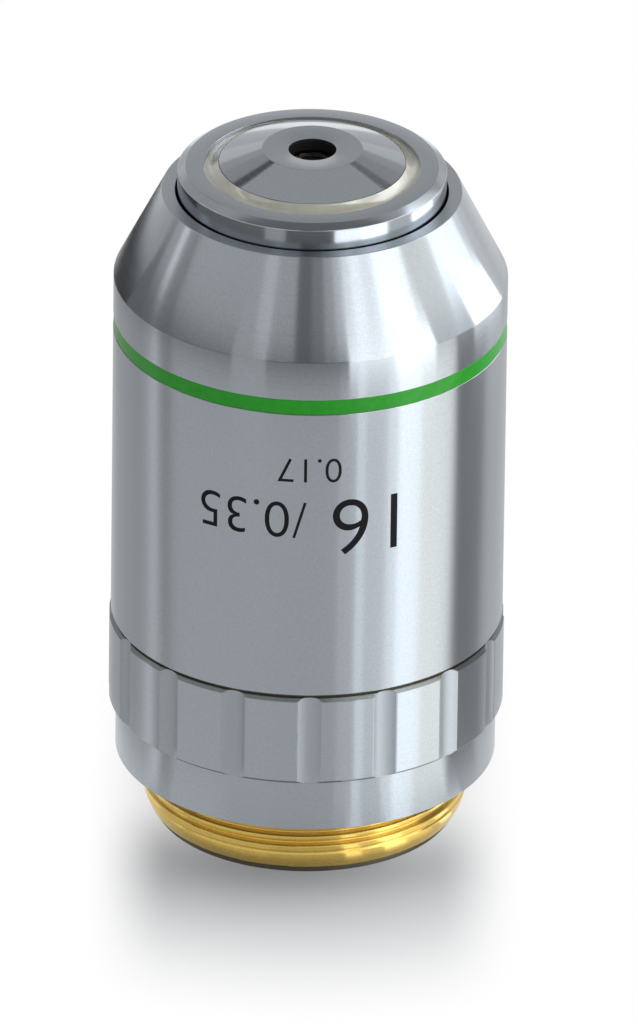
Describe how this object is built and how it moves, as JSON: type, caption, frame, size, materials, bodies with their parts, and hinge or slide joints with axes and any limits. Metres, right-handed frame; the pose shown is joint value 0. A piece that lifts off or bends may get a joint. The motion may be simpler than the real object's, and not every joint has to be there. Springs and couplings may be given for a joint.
{
  "type": "microscope objective",
  "caption": "Infinity-corrected dry microscope objective with a spring-loaded nose, fluted grip and a standard 0.8 inch mounting thread.",
  "frame": {"origin": "centre of the end face of the mounting thread, on which the objective stands", "axes": "+Z along the optical axis, from the mounting thread towards the front lens; -Y is the front of the picture"},
  "size_m": [0.0246, 0.0246, 0.0456],
  "materials": {
    "chromed_brass": "satin chrome plate on turned brass, the thread left bare",
    "blackened_brass": "matt black",
    "spring_steel": "drawn wire",
    "optical_glass": "polished and coated",
    "green_enamel": "glossy enamel",
    "cream_sealant": "glossy cured sealant"
  },
  "bodies": {
    "housing": {"mount_base": "chromed_brass", "outer_sleeve": "chromed_brass", "colour_ring": "green_enamel", "stop_ring": "blackened_brass", "return_spring": "spring_steel", "guide_screw": "spring_steel"},
    "lens_group": {"lens_barrel": "chromed_brass", "front_cell": "chromed_brass", "front_lens": "optical_glass", "sealant_bead": "cream_sealant", "meniscus_cell": "blackened_brass", "meniscus_lens": "optical_glass", "front_spacer": "blackened_brass", "front_doublet_cell": "blackened_brass", "front_doublet_crown": "optical_glass", "front_doublet_flint": "optical_glass", "middle_spacer": "blackened_brass", "rear_doublet_cell": "blackened_brass", "rear_doublet_flint": "optical_glass", "rear_doublet_crown": "optical_glass", "aperture_stop": "blackened_brass", "rear_spacer": "blackened_brass", "rear_cell": "blackened_brass", "rear_lens": "optical_glass", "retaining_ring": "blackened_brass"}
  },
  "joints": [
    {"name": "nose_slide", "type": "slide", "parent": "housing", "child": "lens_group", "axis": [0, 0, -1], "range_m": [0, 0.0025], "stiffness_N_per_m": 400, "springref_m": -0.004, "deforming": ["return_spring"]}
  ]
}
